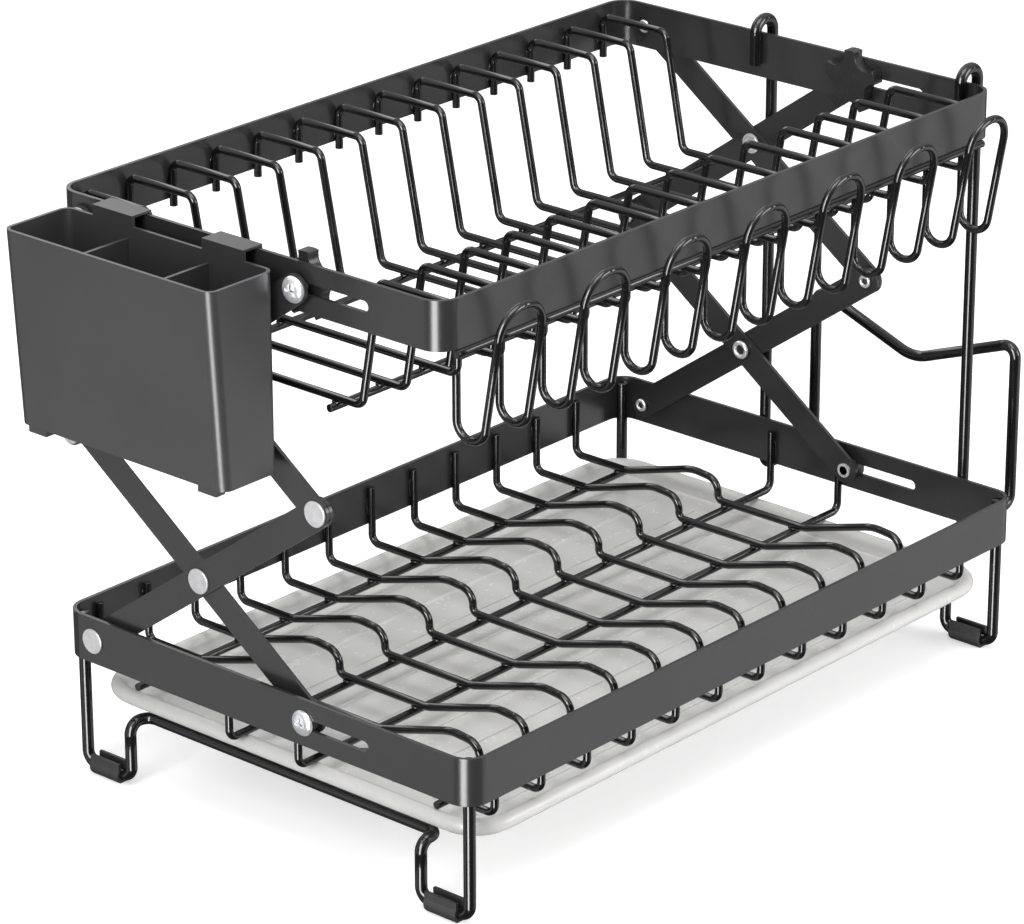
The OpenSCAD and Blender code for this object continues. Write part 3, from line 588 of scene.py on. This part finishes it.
def makeEyelet(name, tree, spots, kind, body):
    rim, roll = eyeletSizes[kind]
    values = {"Rim Radius": rim * mm, "Roll Radius": roll * mm}
    piece = settle(name, spotMesh(name, spots, {}), tree, values, boltZinc)
    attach(piece, body)


def addEyelets(p):
    tree = eyeletTree(boltZinc)
    for name, x, z, body in (
            ("lowerPivotEyelets", p["pivotX"], p["lowZ"], "lower_rack"),
            ("upperPivotEyelets", p["upperPivotX"], p["highZ"], "upper_rack")):
        makeEyelet(name, tree, [(side * x, p["pivotY"], z) for end, side in ends], "small", body)
    lowCross, highCross = p["lowZ"] + p["crossRise"], p["highZ"] - p["crossRise"]
    joints = (
        ("LowerCross", p["crossX"], p["crossY"], lowCross, "wide", "lower_outer"),
        ("FrontJoint", p["frontJointX"], p["frontJointY"], p["jointZ"], "small", "lower_outer"),
        ("BackJoint", p["backJointX"], p["backJointY"], p["jointZ"], "small", "lower_inner"),
        ("UpperCross", p["upperCrossX"], p["crossY"], highCross, "wide", "upper_inner"),
    )
    for end, side in ends:
        for joint, x, y, z, kind, body in joints:
            makeEyelet(f"{end}{joint}Eyelet", tree, [(side * x, y, z)], kind, f"{end}_{body}")


addEyelets(eyelets)
print("rivet eyelets made")


# Floor and light, in metres. Straight sight and see-through plastic show a white room.
# Gloss shows the same room as a dome that is bright overhead and dim at the horizon,
# as under a softbox.
white = (1, 1, 1, 1)
studio = {"floor": (0.80, 0.80, 0.80), "floorRoughness": 0.9, "floorSize": 14.0,
          "floorLift": 0.46, "around": 0.38, "back": 1.0,
          "mirrorLow": 0.12, "mirrorHigh": 1.1, "mirrorFrom": 0.0, "mirrorTo": 0.75}


def seenPlain(tree, path):
    return mathNode(tree, "MAXIMUM", path.outputs["Is Camera Ray"],
                    path.outputs["Is Transmission Ray"])


def makeFloor(p):
    half = p["floorSize"] / 2
    mesh = bpy.data.meshes.new("floor")
    corners = [(-half, -half, 0), (half, -half, 0), (half, half, 0), (-half, half, 0)]
    mesh.from_pydata(corners, [], [(0, 1, 2, 3)])
    floor = bpy.data.objects.new("floor", mesh)
    scene.collection.objects.link(floor)
    mat, tree, shader = startMaterial("paleFloor")
    setInputs(shader, {"Base Color": (*p["floor"], 1), "Roughness": p["floorRoughness"],
                       "Specular IOR Level": 0.0, "Emission Color": white})
    seen = seenPlain(tree, addNode(tree, "ShaderNodeLightPath"))
    lift = mathNode(tree, "MULTIPLY", seen, p["floorLift"])
    tree.links.new(lift, shader.inputs["Emission Strength"])
    mesh.materials.append(mat)
    floor.visible_glossy, floor.visible_shadow = False, False


def makeWorld(p):
    world = bpy.data.worlds.new("studioWorld")
    world.use_nodes = True
    tree = world.node_tree
    shade = tree.nodes["Background"]
    shade.inputs["Color"].default_value = white
    coords = addNode(tree, "ShaderNodeTexCoord")
    split = addNode(tree, "ShaderNodeSeparateXYZ")
    tree.links.new(coords.outputs["Generated"], split.inputs[0])
    dome = spread(tree, split.outputs["Z"], p["mirrorLow"] - p["around"],
                  p["mirrorHigh"] - p["around"], (p["mirrorFrom"], p["mirrorTo"]))
    path = addNode(tree, "ShaderNodeLightPath")
    plain = mathNode(tree, "MULTIPLY", seenPlain(tree, path), p["back"] - p["around"])
    gloss = mathNode(tree, "MULTIPLY", path.outputs["Is Glossy Ray"], dome)
    total = mathNode(tree, "ADD", mathNode(tree, "ADD", plain, gloss), p["around"])
    tree.links.new(total, shade.inputs["Strength"])
    scene.world = world


# The strip and the cards only show in gloss: the long bright line on the wires and
# corners, and the soft light on the flat faces of the bands.
lampAim = Vector((0, 0, 0.16))
lamps = [
    {"name": "key", "at": (-1.35, -0.2, 0.95), "size": (0.55, 1.3), "power": 11},
    {"name": "top", "at": (-0.3, -0.5, 1.9), "size": (1.3, 1.3), "power": 26},
    {"name": "fill", "at": (0.9, -1.7, 0.7), "size": (0.9, 0.9), "power": 20},
    {"name": "rim", "at": (0.4, 1.6, 1.3), "size": (1.6, 0.6), "power": 8},
    {"name": "strip", "at": (-1.85, -0.75, 0.16), "size": (0.8, 2.6), "power": 112,
     "glossOnly": True},
    {"name": "frontCard", "at": (1.5, -1.4, -0.55), "size": (2.6, 1.5), "power": 11,
     "glossOnly": True},
    {"name": "endCard", "at": (-0.75, 0.42, -0.08), "size": (0.6, 0.55), "power": 0.8,
     "glossOnly": True},
]


def makeLamp(p):
    data = bpy.data.lights.new(p["name"], "AREA")
    data.shape, data.energy = "RECTANGLE", p["power"]
    data.size, data.size_y = p["size"]
    lamp = bpy.data.objects.new(p["name"], data)
    lamp.location = p["at"]
    lamp.rotation_mode = "QUATERNION"
    lamp.rotation_quaternion = (lampAim - Vector(p["at"])).to_track_quat("-Z", "Y")
    lamp.visible_camera = False
    if p.get("glossOnly"):
        lamp.visible_diffuse, lamp.visible_transmission = False, False
    scene.collection.objects.link(lamp)


makeFloor(studio)
makeWorld(studio)
for lamp in lamps:
    makeLamp(lamp)
scene.view_settings.view_transform = "Standard"
print("studio lit")

bpy.context.view_layer.update()
